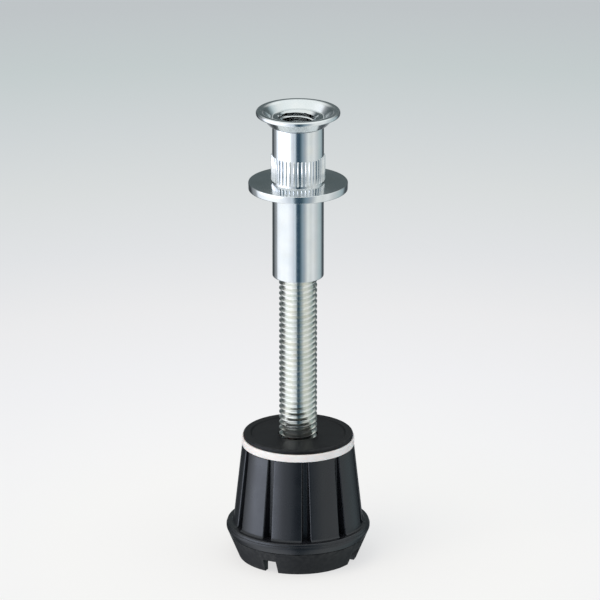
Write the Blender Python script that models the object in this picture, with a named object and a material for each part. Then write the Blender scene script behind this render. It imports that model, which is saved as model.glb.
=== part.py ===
"""Furniture leveling foot with a panel insert, in metres, +Z up.

The origin is on the axis of the spindle, on the floor. The steel insert is fixed in a base panel.
The threaded spindle turns in it and carries the fluted grip, which turns with it. The glide stays
still on the floor: the spindle's hex head bears on it through a thrust washer.

Angles round the foot are counted from the front (-Y) towards the right (+X).
"""

import math

import bmesh
import bpy
from mathutils import Matrix, Vector

MM = 0.001

# ---------------------------------------------------------------- driving dimensions

CLEARANCE = 0.3 * MM            # gap between pieces that touch or run in each other

# spindle
THREAD_DIAMETER = 10.0 * MM     # M10, outside diameter
THREAD_PITCH = 1.5 * MM
THREAD_ENGAGED = 15.0 * MM      # length of thread inside the insert with the foot screwed out
VISIBLE_THREAD = 43.7 * MM      # between the foot and the insert, with the foot screwed out
HEAD_FLATS = 17.0 * MM
HEAD_HEIGHT = 6.4 * MM
PIN_DIAMETER = 7.0 * MM
THREAD_CHAMFER = 0.9 * MM
HEAD_BEVEL = math.radians(30)   # of the hex head's lower corners
PIN_CHAMFER = 0.3 * MM
KEY_FLATS = 5.0 * MM            # hex socket in the top end
KEY_DEPTH = 5.0 * MM

# insert in the panel
PANEL_THICKNESS = 21.5 * MM
INSERT_DROP = 25.8 * MM         # length of the sleeve under the panel
SLEEVE_WALL = 1.45 * MM
LOAD_FLANGE_DIAMETER = 26.0 * MM
LOAD_FLANGE_THICKNESS = 2.0 * MM
SEAT_RELIEF = 0.3 * MM          # groove round the flange's root, so that the panel lies flat
KNURL_HEIGHT = 0.35 * MM
KNURL_LENGTH = 7.0 * MM
STAKE_WALL = 0.8 * MM           # wall of the thin neck that is riveted over the cup
STAKE_LIP = 0.8 * MM            # width and height of the riveted lip
CUP_DIAMETER = 22.0 * MM
CUP_SHEET = 1.2 * MM
CUP_DEPTH = 2.6 * MM
CUP_RIM = 1.8 * MM              # width of the flat rim
CUP_RECESS = 2.1 * MM           # the rim lies this far under the panel's top face
CUP_FLOOR = 1.2 * MM            # width of the flat ring round the cup's hole
EDGE_BREAK = 0.3 * MM           # broken edges of the flange, cup and washer

# grip body
FOOT_DIAMETER = 38.0 * MM       # over the flange band
FOOT_CONE = math.radians(22.5)  # of the foot below the band, from upright
GRIP_HEIGHT = 24.5 * MM
GRIP_TAPER = math.radians(6.3)  # of the fluted wall, from upright
BAND_HEIGHT = 2.2 * MM          # plain band under the flutes
BAND_TAPER = 1.5 * MM           # lower part of the band, which carries on the foot's cone
BAND_STEP = 0.2 * MM            # the flutes start this far inside the band
LEDGE_WIDTH = 1.95 * MM         # flare of each flute at its foot
LEDGE_START = 3.2 * MM          # height at which the flare turns inwards
LEDGE_END = 5.8 * MM            # height at which it meets the tapered wall
LEDGE_TURN = 0.4 * MM           # height of the soft turn at each end of the flare
LEDGE_EASE = 0.3 * MM           # width of that turn
FLUTES = 10
FLUTE_ANGLE = math.radians(7.4)
FLUTE_ROOT_WIDTH = 1.6 * MM
FLUTE_TOP_DEPTH = 0.8 * MM
FLUTE_DRAFT = math.radians(12)  # of a groove's side walls
FLUTE_LEAN = math.radians(1.5)  # of a groove's bottom, from upright
TOP_CHAMFER = 0.15 * MM
GRIP_WALL = 1.5 * MM            # outside the pockets, at the bottom of a groove
GRIP_TUBE_WALL = 2.1 * MM       # round the spindle's hole
GRIP_WEB = 3.0 * MM             # between the hex pocket and the upper pockets
GRIP_BORE_DEPTH = 3.6 * MM      # bore that fits over the glide's ring
CORE_WALL = 1.5 * MM            # round the coring pockets in the flange
CORE_DEPTH = 3.0 * MM

# ring and cap on the grip
RING_THICKNESS = 1.5 * MM
RING_SKIRT_DEPTH = 2.7 * MM
RING_SKIRT_WALL = 1.3 * MM
RING_OVERHANG = 0.05 * MM       # the rim stands this far outside the grip's top edge
CAP_THICKNESS = 1.1 * MM
CAP_DISH = 0.4 * MM
CAP_RIM = 1.9 * MM
CAP_INSET = 0.3 * MM            # the cap's edge lies inside the grip's top edge
PEGS = 5
PEG_DIAMETER = 2.4 * MM
PEG_GRIP = 4.0 * MM             # length of a peg inside its pad

# glide, washer and clip
GLIDE_EDGE = 6.3 * MM           # height of the glide's edge
FLOOR_RADIUS = 0.5 * MM         # rounding of the floor edge
FLOOR_RING = 1.6 * MM           # width of the ring that stands on the floor
RECESS_DEPTH = 4.0 * MM
NOTCHES = 4
NOTCH_ANGLE = math.radians(-26.5)
NOTCH_WIDTH = 3.8 * MM
NOTCH_HEIGHT = 3.7 * MM
RIB_ANGLE = math.radians(5)     # half the angle that a rib under the glide takes up
BOSS_WALL = 1.6 * MM
WASHER_SEAT = 0.9 * MM          # height of the washer's seat above the glide's edge
GLIDE_RING_WALL = 1.5 * MM
WASHER_THICKNESS = 1.2 * MM
BOSS_WEB = 3.8 * MM             # between the washer's seat and the clip's recess
CLIP_BORE = 6.0 * MM
CLIP_WIDTH = 3.0 * MM
CLIP_THICKNESS = 0.7 * MM
CLIP_LUG_HEIGHT = 1.2 * MM
CLIP_LUG_ANGLE = math.radians(30)
CLIP_MOUTH = math.radians(76)
CLIP_SPACE = 1.0 * MM           # free space round the clip in its recess
PIN_END = 0.8 * MM              # pin left below the clip's groove

OVERCUT = 1.0 * MM              # cutters reach this far past the faces that they open

# number of flat sides on round shapes
SIDES = 60
SIDES_TUBE = 40
SIDES_SMALL = 12
FLUTE_STEPS = 5

# ---------------------------------------------------------------- what follows from them

ROD = THREAD_DIAMETER / 2
ROD_HOLE = ROD + CLEARANCE
PIN = PIN_DIAMETER / 2
PIN_HOLE = PIN + CLEARANCE
SQRT3 = math.sqrt(3)
HEAD_CORNER = HEAD_FLATS / SQRT3
HEAD_POCKET_CORNER = (HEAD_FLATS + 2 * CLEARANCE) / SQRT3

FLANGE = FOOT_DIAMETER / 2
GRIP_FOOT = FLANGE - BAND_TAPER * math.tan(FOOT_CONE)
GRIP_BASE = FLANGE - BAND_STEP - LEDGE_WIDTH
GRIP_TOP = GRIP_BASE - (GRIP_HEIGHT - LEDGE_END) * math.tan(GRIP_TAPER)
FLUTE_ROOT = GRIP_TOP - FLUTE_TOP_DEPTH
GRIP_BORE = FLUTE_ROOT - GRIP_WALL
GRIP_TUBE = ROD_HOLE + GRIP_TUBE_WALL
PEG = PEG_DIAMETER / 2
PEG_HOLE = PEG + CLEARANCE
PEG_CIRCLE = GRIP_TUBE + CLEARANCE + PEG_HOLE

GLIDE_TOP = GRIP_FOOT - CLEARANCE * math.tan(FOOT_CONE)
GLIDE_FLOOR = GLIDE_TOP - GLIDE_EDGE * math.tan(FOOT_CONE)
GLIDE_RING = GRIP_BORE - CLEARANCE
CLIP = CLIP_BORE / 2 + CLIP_WIDTH
CLIP_RECESS = CLIP + CLIP_SPACE
GLIDE_BOSS = CLIP_RECESS + BOSS_WALL

# heights of the pieces above the floor, from the glide upwards
GRIP_Z = GLIDE_EDGE + CLEARANCE
SEAT_Z = GLIDE_EDGE + WASHER_SEAT
WASHER_Z = SEAT_Z + CLEARANCE
HEAD_Z = WASHER_Z + WASHER_THICKNESS + CLEARANCE
POCKET_TOP_Z = HEAD_Z + HEAD_HEIGHT + CLEARANCE
WEB_TOP_Z = POCKET_TOP_Z + GRIP_WEB
GRIP_TOP_Z = GRIP_Z + GRIP_HEIGHT
PAD_TOP_Z = GRIP_TOP_Z - RING_SKIRT_DEPTH - CLEARANCE
RING_Z = GRIP_TOP_Z + CLEARANCE
CAP_Z = RING_Z + RING_THICKNESS + CLEARANCE
CAP_TOP_Z = CAP_Z + CAP_THICKNESS
PEG_TIP_Z = PAD_TOP_Z - PEG_GRIP
SLEEVE_Z = CAP_TOP_Z + VISIBLE_THREAD
ROD_TOP_Z = SLEEVE_Z + THREAD_ENGAGED
PANEL_Z = SLEEVE_Z + INSERT_DROP
CUP_TOP_Z = PANEL_Z + PANEL_THICKNESS - CUP_RECESS
CUP_SHOULDER_Z = CUP_TOP_Z - CUP_DEPTH - CUP_SHEET

# the clip hangs under the roof of its recess
CLIP_ROOF_Z = SEAT_Z - BOSS_WEB
CLIP_Z = CLIP_ROOF_Z - CLEARANCE - CLIP_THICKNESS
PIN_END_Z = CLIP_Z - CLEARANCE - PIN_END


# ---------------------------------------------------------------- tools

def clear_scene():
    for obj in list(bpy.data.objects):
        bpy.data.objects.remove(obj, do_unlink=True)


def material(name, colour, roughness, metallic):
    mat = bpy.data.materials.new(name)
    mat.use_nodes = True
    shader = mat.node_tree.nodes["Principled BSDF"]
    shader.inputs["Base Color"].default_value = (*colour, 1.0)
    shader.inputs["Roughness"].default_value = roughness
    shader.inputs["Metallic"].default_value = metallic
    return mat


def zinc_plated_steel(name, roughness=0.28):
    return material(name, (0.66, 0.69, 0.72), roughness, 1.0)


def black_plastic(name, roughness=0.42):
    return material(name, (0.018, 0.019, 0.022), roughness, 0.0)


def natural_nylon(name):
    return material(name, (0.84, 0.80, 0.79), 0.45, 0.0)


def new_object(name, bm, mat=None):
    """Turn a bmesh into a smooth-shaded object whose faces point outwards."""
    bmesh.ops.remove_doubles(bm, verts=bm.verts, dist=1e-7)
    bmesh.ops.recalc_face_normals(bm, faces=bm.faces)
    mesh = bpy.data.meshes.new(name)
    bm.to_mesh(mesh)
    bm.free()
    mesh.shade_smooth()
    mesh.set_sharp_from_angle(angle=math.radians(35))
    obj = bpy.data.objects.new(name, mesh)
    bpy.context.scene.collection.objects.link(obj)
    if mat:
        mesh.materials.append(mat)
    return obj


def cutter(name, bm, target):
    """A guide body that a Boolean uses, in the target's own coordinates."""
    guide = new_object(name, bm)
    guide.parent = target
    guide.hide_render = True
    guide.display_type = "WIRE"
    return guide


def boolean(target, guide, operation="DIFFERENCE"):
    modifier = target.modifiers.new(guide.name, "BOOLEAN")
    modifier.operation = operation
    modifier.solver = "EXACT"
    modifier.object = guide


def on_circle(radius, angle, z=0.0):
    """Point at an angle counted from the front (-Y) towards the right (+X)."""
    return (radius * math.sin(angle), -radius * math.cos(angle), z)


def arc(radius, centre, start, end, steps):
    """Profile points on an arc, with angles in degrees from the +r axis towards +z."""
    points = []
    for i in range(steps + 1):
        angle = math.radians(start + (end - start) * i / steps)
        points.append((centre[0] + radius * math.cos(angle), centre[1] + radius * math.sin(angle)))
    return points


def add_turned(bm, profile, sides=SIDES, closed=True, turn=Matrix()):
    """Spin a profile of (radius, height) points round the Z axis."""
    verts = [bm.verts.new(on_circle(radius, 0.0, z)) for radius, z in profile]
    edges = [bm.edges.new(pair) for pair in zip(verts, verts[1:])]
    if closed:
        edges.append(bm.edges.new((verts[-1], verts[0])))
    before = set(bm.verts) - set(verts)
    bmesh.ops.spin(bm, geom=verts + edges, cent=(0, 0, 0), axis=(0, 0, 1),
                   angle=math.tau, steps=sides, use_merge=True)
    made = [vert for vert in bm.verts if vert not in before]
    bmesh.ops.remove_doubles(bm, verts=made, dist=1e-7)
    made = [vert for vert in bm.verts if vert not in before]
    bmesh.ops.transform(bm, matrix=turn, verts=made)


def add_prism(bm, outline, bottom, top):
    """Extrude a closed outline of (x, y) points from one height to another."""
    lower = [bm.verts.new((x, y, bottom)) for x, y in outline]
    face = bm.faces.new(lower)
    grown = bmesh.ops.extrude_face_region(bm, geom=[face])
    raised = [item for item in grown["geom"] if isinstance(item, bmesh.types.BMVert)]
    bmesh.ops.translate(bm, vec=(0, 0, top - bottom), verts=raised)


def hexagon(corner_radius):
    return [on_circle(corner_radius, math.tau * i / 6)[:2] for i in range(6)]


def sector(inner, outer, middle, half_angle, steps=6):
    """Outline of a ring sector, centred on an angle."""
    angles = [middle + half_angle * (2 * i / steps - 1) for i in range(steps + 1)]
    out = [on_circle(outer, angle)[:2] for angle in angles]
    back = [on_circle(inner, angle)[:2] for angle in reversed(angles)]
    return out + back


def even_angles(count, start):
    return [start + math.tau * i / count for i in range(count)]


def turned_object(name, profile, mat, sides=SIDES, closed=True):
    bm = bmesh.new()
    add_turned(bm, profile, sides, closed)
    return new_object(name, bm, mat)


# ---------------------------------------------------------------- insert in the panel

def insert_sleeve():
    """Steel tube with its load flange under the panel and a thin neck that holds the cup."""
    outer = ROD_HOLE + SLEEVE_WALL
    end_chamfer = SLEEVE_WALL / 2
    flange = LOAD_FLANGE_DIAMETER / 2
    flange_top = PANEL_Z - SLEEVE_Z
    flange_bottom = flange_top - LOAD_FLANGE_THICKNESS
    edge = EDGE_BREAK
    knurl = outer + KNURL_HEIGHT
    seat = knurl + CLEARANCE
    neck = ROD_HOLE + STAKE_WALL
    neck_bottom = CUP_SHOULDER_Z - CLEARANCE - SLEEVE_Z
    lip_bottom = CUP_SHOULDER_Z + CUP_SHEET + CLEARANCE - SLEEVE_Z
    lip_top = lip_bottom + STAKE_LIP
    lip = neck + STAKE_LIP
    profile = [
        (ROD_HOLE + end_chamfer / 2, 0.0),
        (outer - end_chamfer, 0.0),
        (outer, end_chamfer),
        (outer, flange_bottom),
        (flange - edge, flange_bottom),
        (flange, flange_bottom + edge),
        (flange, flange_top - edge),
        (flange - edge, flange_top),
        (seat, flange_top),
        (seat, flange_top - SEAT_RELIEF),
        (outer, flange_top - SEAT_RELIEF),
        (outer, flange_top + KNURL_HEIGHT),
        (knurl, flange_top + 2 * KNURL_HEIGHT),
        (knurl, flange_top + KNURL_LENGTH),
        (outer, flange_top + KNURL_LENGTH + KNURL_HEIGHT),
        (outer, neck_bottom),
        (neck, neck_bottom),
        (neck, lip_bottom),
        (lip, lip_bottom),
        (lip, lip_top - STAKE_LIP / 2),
        (lip - STAKE_LIP / 2, lip_top),
        (ROD_HOLE + end_chamfer / 2, lip_top),
        (ROD_HOLE, lip_top - end_chamfer / 2),
        (ROD_HOLE, end_chamfer / 2),
    ]
    steel = zinc_plated_steel("insert_steel")
    sleeve = turned_object("insert_sleeve", profile, steel, SIDES_TUBE)
    sleeve.location.z = SLEEVE_Z
    return sleeve


def insert_cup():
    """Dished steel washer with a flat rim, which lies in the panel's counterbore."""
    hole = ROD_HOLE + STAKE_WALL + CLEARANCE
    floor = hole + CUP_FLOOR
    rim = CUP_DIAMETER / 2
    bend = rim - CUP_RIM
    sheet = CUP_SHEET
    profile = [
        (hole, 0.0),
        (floor, 0.0),
        (bend + sheet / 2, CUP_DEPTH),
        (rim - EDGE_BREAK, CUP_DEPTH),
        (rim, CUP_DEPTH + EDGE_BREAK),
        (rim, CUP_DEPTH + sheet - EDGE_BREAK),
        (rim - EDGE_BREAK, CUP_DEPTH + sheet),
        (bend, CUP_DEPTH + sheet),
        (floor - EDGE_BREAK, sheet),
        (hole, sheet),
    ]
    steel = zinc_plated_steel("cup_steel", 0.2)
    cup = turned_object("insert_cup", profile, steel, SIDES_TUBE)
    cup.location.z = CUP_SHOULDER_Z
    return cup


# ---------------------------------------------------------------- spindle

def spindle():
    """Threaded rod with a hex head near its lower end and a pin that carries the clip."""
    groove = CLIP_BORE / 2 - CLEARANCE
    groove_bottom = CLIP_Z - CLEARANCE - HEAD_Z
    groove_top = CLIP_Z + CLIP_THICKNESS + CLEARANCE - HEAD_Z
    pin_end = PIN_END_Z - HEAD_Z
    top = ROD_TOP_Z - HEAD_Z
    inside_head = HEAD_HEIGHT / 2
    profile = [
        (0.0, pin_end),
        (PIN - PIN_CHAMFER, pin_end),
        (PIN, pin_end + PIN_CHAMFER),
        (PIN, groove_bottom),
        (groove, groove_bottom),
        (groove, groove_top),
        (PIN, groove_top),
        (PIN, inside_head),
        (ROD, inside_head),
        (ROD, top - THREAD_CHAMFER),
        (ROD - THREAD_CHAMFER, top),
        (0.0, top),
    ]
    steel = zinc_plated_steel("spindle_steel")
    rod = turned_object("spindle", profile, steel, SIDES_TUBE, closed=False)
    rod.location.z = HEAD_Z

    bm = bmesh.new()
    add_prism(bm, hexagon(HEAD_CORNER), 0.0, HEAD_HEIGHT)
    head = cutter("spindle_head", bm, rod)
    bm = bmesh.new()
    wide = HEAD_CORNER + OVERCUT
    cone_top = (wide - HEAD_FLATS / 2) * math.tan(HEAD_BEVEL)
    add_turned(bm, [
        (0.0, -OVERCUT),
        (HEAD_FLATS / 2, -OVERCUT),
        (HEAD_FLATS / 2, 0.0),
        (wide, cone_top),
        (wide, HEAD_HEIGHT + OVERCUT),
        (0.0, HEAD_HEIGHT + OVERCUT),
    ], closed=False)
    boolean(head, cutter("spindle_head_cone", bm, rod), "INTERSECT")
    boolean(rod, head, "UNION")

    bm = bmesh.new()
    add_prism(bm, hexagon(KEY_FLATS / SQRT3), top - KEY_DEPTH, top + KEY_DEPTH)
    boolean(rod, cutter("spindle_socket", bm, rod))
    return rod


def retaining_clip():
    """E-clip: an open ring with three lugs that sit in the groove of the pin."""
    bore = CLIP_BORE / 2
    relief = bore + CLIP_LUG_HEIGHT
    first = CLIP_MOUTH / 2
    last = math.tau - first
    lug = CLIP_LUG_ANGLE
    stretches = [
        (CLIP, first, last, 24),
        (bore, last, last - lug, 3),
        (relief, last - lug, math.pi + lug / 2, 5),
        (bore, math.pi + lug / 2, math.pi - lug / 2, 3),
        (relief, math.pi - lug / 2, first + lug, 5),
        (bore, first + lug, first, 3),
    ]
    outline = []
    for radius, start, end, steps in stretches:
        for i in range(steps + 1):
            outline.append(on_circle(radius, start + (end - start) * i / steps)[:2])
    bm = bmesh.new()
    add_prism(bm, outline, 0.0, CLIP_THICKNESS)
    clip = new_object("retaining_clip", bm, zinc_plated_steel("clip_steel", 0.35))
    clip.location.z = CLIP_Z
    return clip


# ---------------------------------------------------------------- grip body, ring and cap

def grip_section(bm, radius, z, fluted=True):
    """One level of the grip: a circle, with a drafted groove cut in for each flute."""
    root = FLUTE_ROOT_WIDTH / 2
    bottom = FLUTE_ROOT + (GRIP_HEIGHT - z) * math.tan(FLUTE_LEAN)
    mouth = root + (radius - bottom) * math.tan(FLUTE_DRAFT)
    mouth_angle = math.asin(mouth / radius)
    root_angle = math.atan2(root, bottom)
    root_radius = math.hypot(root, bottom) if fluted else radius
    pitch = math.tau / FLUTES
    ring = []
    for middle in even_angles(FLUTES, FLUTE_ANGLE):
        ring.append(on_circle(radius, middle - mouth_angle, z))
        ring.append(on_circle(root_radius, middle - root_angle, z))
        ring.append(on_circle(root_radius, middle + root_angle, z))
        facet = pitch - 2 * mouth_angle
        for i in range(FLUTE_STEPS):
            angle = middle + mouth_angle + facet * i / FLUTE_STEPS
            ring.append(on_circle(radius, angle, z))
    return [bm.verts.new(point) for point in ring]


def grip_outside():
    """The fluted outside as a loft: plain band, flared ledge, then the tapered wall."""
    flare = FLANGE - BAND_STEP
    bm = bmesh.new()
    rings = [
        grip_section(bm, GRIP_FOOT, 0.0, fluted=False),
        grip_section(bm, FLANGE, BAND_TAPER, fluted=False),
        grip_section(bm, FLANGE, BAND_HEIGHT, fluted=False),
        grip_section(bm, flare, BAND_HEIGHT),
        grip_section(bm, flare, LEDGE_START),
        grip_section(bm, flare - LEDGE_EASE, LEDGE_START + LEDGE_TURN),
        grip_section(bm, GRIP_BASE + LEDGE_EASE, LEDGE_END - LEDGE_TURN),
        grip_section(bm, GRIP_BASE, LEDGE_END),
        grip_section(bm, GRIP_TOP, GRIP_HEIGHT - TOP_CHAMFER),
        grip_section(bm, GRIP_TOP - TOP_CHAMFER, GRIP_HEIGHT),
    ]
    for lower, upper in zip(rings, rings[1:]):
        for i in range(len(lower)):
            j = (i + 1) % len(lower)
            bm.faces.new((lower[i], lower[j], upper[j], upper[i]))
    bm.faces.new(reversed(rings[0]))
    bm.faces.new(rings[-1])
    return bm


def grip_body():
    """Moulded grip: fluted outside, bore and hex pocket below, five pockets and pads above."""
    grip = new_object("grip_body", grip_outside(), black_plastic("grip_plastic"))
    grip.location.z = GRIP_Z
    top = GRIP_HEIGHT

    # stepped hole: bore over the glide's ring, then the spindle's hole, then the ring's seat
    bore_top = GRIP_BORE_DEPTH
    pad_top = PAD_TOP_Z - GRIP_Z
    bm = bmesh.new()
    add_turned(bm, [
        (0.0, -OVERCUT),
        (GRIP_BORE, -OVERCUT),
        (GRIP_BORE, bore_top),
        (ROD_HOLE, bore_top),
        (ROD_HOLE, top + OVERCUT),
        (0.0, top + OVERCUT),
    ], closed=False)
    boolean(grip, cutter("grip_bore", bm, grip))

    bm = bmesh.new()
    add_turned(bm, [
        (GRIP_TUBE, pad_top),
        (GRIP_BORE, pad_top),
        (GRIP_BORE, top + OVERCUT),
        (GRIP_TUBE, top + OVERCUT),
    ])
    boolean(grip, cutter("grip_ring_seat", bm, grip))

    # upper pockets lie between the pads, which stand behind every second groove
    pad_half = math.asin((PEG_HOLE + GRIP_WALL / 2) / PEG_CIRCLE)
    pocket_half = math.pi / PEGS - pad_half
    web_top = WEB_TOP_Z - GRIP_Z
    bm = bmesh.new()
    for middle in even_angles(PEGS, FLUTE_ANGLE + math.pi / PEGS):
        outline = sector(GRIP_TUBE, GRIP_BORE, middle, pocket_half)
        add_prism(bm, outline, web_top, pad_top + OVERCUT)
    boolean(grip, cutter("grip_pockets", bm, grip))

    bm = bmesh.new()
    for angle in even_angles(PEGS, FLUTE_ANGLE):
        add_turned(bm, [
            (0.0, PEG_TIP_Z - CLEARANCE - GRIP_Z),
            (PEG_HOLE, PEG_TIP_Z - CLEARANCE - GRIP_Z),
            (PEG_HOLE, top + OVERCUT),
            (0.0, top + OVERCUT),
        ], SIDES_SMALL, closed=False, turn=Matrix.Translation(on_circle(PEG_CIRCLE, angle)))
    boolean(grip, cutter("grip_peg_holes", bm, grip))

    # coring pockets under the ledge, one behind each flute
    outer = GRIP_FOOT - CORE_WALL
    inner = GRIP_BORE + CORE_WALL
    half = math.pi / FLUTES - math.asin((FLUTE_ROOT_WIDTH / 2 + CORE_WALL) / FLUTE_ROOT)
    bm = bmesh.new()
    for middle in even_angles(FLUTES, FLUTE_ANGLE + math.pi / FLUTES):
        add_prism(bm, sector(inner, outer, middle, half, 3), -OVERCUT, CORE_DEPTH)
    boolean(grip, cutter("grip_cores", bm, grip))

    # the hex pocket opens into the bore and is cut last, into finished walls
    bm = bmesh.new()
    add_prism(bm, hexagon(HEAD_POCKET_CORNER), bore_top - OVERCUT, POCKET_TOP_Z - GRIP_Z)
    boolean(grip, cutter("grip_hex_pocket", bm, grip))
    return grip


def guide_ring():
    """White nylon ring with a skirt that plugs into the grip; its rim shows under the cap."""
    rim = GRIP_TOP + RING_OVERHANG
    skirt = GRIP_BORE - CLEARANCE
    profile = [
        (ROD_HOLE, 0.0),
        (skirt - RING_SKIRT_WALL, 0.0),
        (skirt - RING_SKIRT_WALL, -RING_SKIRT_DEPTH),
        (skirt, -RING_SKIRT_DEPTH),
        (skirt, 0.0),
        (rim, 0.0),
        (rim, RING_THICKNESS),
        (ROD_HOLE, RING_THICKNESS),
    ]
    ring = turned_object("guide_ring", profile, natural_nylon("ring_nylon"))
    ring.location.z = RING_Z
    bm = bmesh.new()
    for angle in even_angles(PEGS, FLUTE_ANGLE):
        add_turned(bm, [
            (0.0, -RING_SKIRT_DEPTH - OVERCUT),
            (PEG_HOLE, -RING_SKIRT_DEPTH - OVERCUT),
            (PEG_HOLE, RING_THICKNESS + OVERCUT),
            (0.0, RING_THICKNESS + OVERCUT),
        ], SIDES_SMALL, closed=False, turn=Matrix.Translation(on_circle(PEG_CIRCLE, angle)))
    boolean(ring, cutter("ring_peg_holes", bm, ring))
    return ring


def top_cap():
    """Black cap disc with a shallow dish, held by five pegs in the grip's pads."""
    edge = GRIP_TOP - CAP_INSET
    hole = ROD_HOLE + 2 * CLEARANCE
    rounding = CAP_THICKNESS / 2
    profile = [
        (hole, 0.0),
        (edge, 0.0),
        *arc(rounding, (edge - rounding, CAP_THICKNESS - rounding), 0, 90, 4),
        (edge - CAP_RIM, CAP_THICKNESS),
        (edge - CAP_RIM - CAP_DISH, CAP_THICKNESS - CAP_DISH),
        (hole, CAP_THICKNESS - CAP_DISH),
    ]
    cap = turned_object("top_cap", profile, black_plastic("cap_plastic", 0.5))
    cap.location.z = CAP_Z
    bm = bmesh.new()
    tip = PEG_TIP_Z - CAP_Z
    for angle in even_angles(PEGS, FLUTE_ANGLE):
        add_turned(bm, [
            (0.0, tip),
            (PEG / 2, tip),
            (PEG, tip + PEG),
            (PEG, CAP_THICKNESS / 3),
            (0.0, CAP_THICKNESS / 3),
        ], SIDES_SMALL, closed=False, turn=Matrix.Translation(on_circle(PEG_CIRCLE, angle)))
    boolean(cap, cutter("cap_pegs", bm, cap), "UNION")
    return cap


# ---------------------------------------------------------------- glide and thrust washer

def glide():
    """Black sole: tapered edge, raised ring inside the grip, notched floor ring underneath."""
    rounding = FLOOR_RADIUS
    lean = math.degrees(FOOT_CONE)
    profile = [
        (PIN_HOLE, CLIP_ROOF_Z),
        (CLIP_RECESS, CLIP_ROOF_Z),
        (CLIP_RECESS, rounding),
        (GLIDE_BOSS, rounding),
        (GLIDE_FLOOR - FLOOR_RING, 0.0),
        *arc(rounding, (GLIDE_FLOOR - rounding, rounding), -90, -lean, 3),
        (GLIDE_TOP, GLIDE_EDGE - rounding / 2),
        (GLIDE_TOP - rounding / 2, GLIDE_EDGE),
        (GLIDE_RING, GLIDE_EDGE),
        (GLIDE_RING, HEAD_Z - CLEARANCE - rounding),
        (GLIDE_RING - rounding, HEAD_Z - CLEARANCE),
        (GLIDE_RING - GLIDE_RING_WALL, HEAD_Z - CLEARANCE),
        (GLIDE_RING - GLIDE_RING_WALL, SEAT_Z),
        (PIN_HOLE, SEAT_Z),
    ]
    sole = turned_object("glide", profile, black_plastic("glide_plastic", 0.48))

    # recesses between the ribs, then a notch out of each recess through the floor ring
    half = math.pi / NOTCHES - RIB_ANGLE
    bm = bmesh.new()
    for middle in even_angles(NOTCHES, NOTCH_ANGLE):
        outline = sector(GLIDE_BOSS, GLIDE_FLOOR - FLOOR_RING, middle, half, 10)
        add_prism(bm, outline, -OVERCUT, RECESS_DEPTH)
    boolean(sole, cutter("glide_recesses", bm, sole))

    start = GLIDE_FLOOR - FLOOR_RING - OVERCUT
    end = FLANGE + OVERCUT
    side = NOTCH_WIDTH / 2
    corners = [(-side, -start), (-side, -end), (side, -end), (side, -start)]
    bm = bmesh.new()
    for angle in even_angles(NOTCHES, NOTCH_ANGLE):
        turn = Matrix.Rotation(angle, 2)
        outline = [tuple(turn @ Vector(corner)) for corner in corners]
        add_prism(bm, outline, -OVERCUT, NOTCH_HEIGHT)
    boolean(sole, cutter("glide_notches", bm, sole))
    return sole


def thrust_washer():
    """Flat steel washer that keeps the turning hex head off the plastic glide."""
    outer = GLIDE_RING - GLIDE_RING_WALL - CLEARANCE
    edge = EDGE_BREAK
    profile = [
        (PIN_HOLE, 0.0),
        (outer - edge, 0.0),
        (outer, edge),
        (outer, WASHER_THICKNESS - edge),
        (outer - edge, WASHER_THICKNESS),
        (PIN_HOLE, WASHER_THICKNESS),
    ]
    steel = zinc_plated_steel("washer_steel", 0.35)
    washer = turned_object("thrust_washer", profile, steel, SIDES_TUBE)
    washer.location.z = WASHER_Z
    return washer


# ---------------------------------------------------------------- assembly

def group(name, pieces):
    """Hang pieces that move together on an empty on the spindle's axis."""
    empty = bpy.data.objects.new(name, None)
    bpy.context.scene.collection.objects.link(empty)
    for piece in pieces:
        piece.parent = empty


def main():
    clear_scene()
    group("insert", [insert_sleeve(), insert_cup()])
    group("turning_parts", [spindle(), retaining_clip(), grip_body(), guide_ring(), top_cap()])
    group("standing_parts", [glide(), thrust_washer()])


main()
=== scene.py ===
"""Finish of the furniture leveling foot: rolled threads, knurl, moulded flutes, metal and plastic."""

import math

import bmesh
import bpy
from mathutils import Matrix, Vector


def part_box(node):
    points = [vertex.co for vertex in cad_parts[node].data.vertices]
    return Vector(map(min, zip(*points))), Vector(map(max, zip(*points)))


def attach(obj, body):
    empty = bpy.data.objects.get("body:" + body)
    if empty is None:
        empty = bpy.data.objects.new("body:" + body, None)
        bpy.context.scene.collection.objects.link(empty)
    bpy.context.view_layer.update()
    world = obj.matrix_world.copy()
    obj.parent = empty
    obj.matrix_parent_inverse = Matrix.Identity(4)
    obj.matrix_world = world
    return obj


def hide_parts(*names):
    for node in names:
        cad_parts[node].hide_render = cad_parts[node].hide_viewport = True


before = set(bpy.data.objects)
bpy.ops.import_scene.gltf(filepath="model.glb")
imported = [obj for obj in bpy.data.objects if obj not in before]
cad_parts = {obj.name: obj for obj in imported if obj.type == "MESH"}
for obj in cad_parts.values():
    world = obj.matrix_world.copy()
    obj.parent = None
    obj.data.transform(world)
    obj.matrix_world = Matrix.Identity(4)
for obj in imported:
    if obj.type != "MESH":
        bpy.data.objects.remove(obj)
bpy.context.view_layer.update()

MM = 0.001

# ---------------------------------------- sizes that the frame gives

GRIP_LOW, GRIP_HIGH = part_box("grip_body")
RING_LOW, RING_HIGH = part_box("guide_ring")
CAP_LOW, CAP_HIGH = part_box("top_cap")
GLIDE_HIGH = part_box("glide")[1]
SLEEVE_LOW, SLEEVE_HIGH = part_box("insert_sleeve")
CUP_LOW, CUP_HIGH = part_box("insert_cup")
ROD_LOW, ROD_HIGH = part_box("spindle")
WASHER_LOW, WASHER_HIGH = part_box("thrust_washer")
CLIP_LOW, CLIP_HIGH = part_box("retaining_clip")

CLEARANCE = 0.3 * MM            # between neighbouring pieces of the frame
SEAM = 0.06 * MM                # what is left of it where two finished pieces meet

# ---------------------------------------- sizes of the detail

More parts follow.
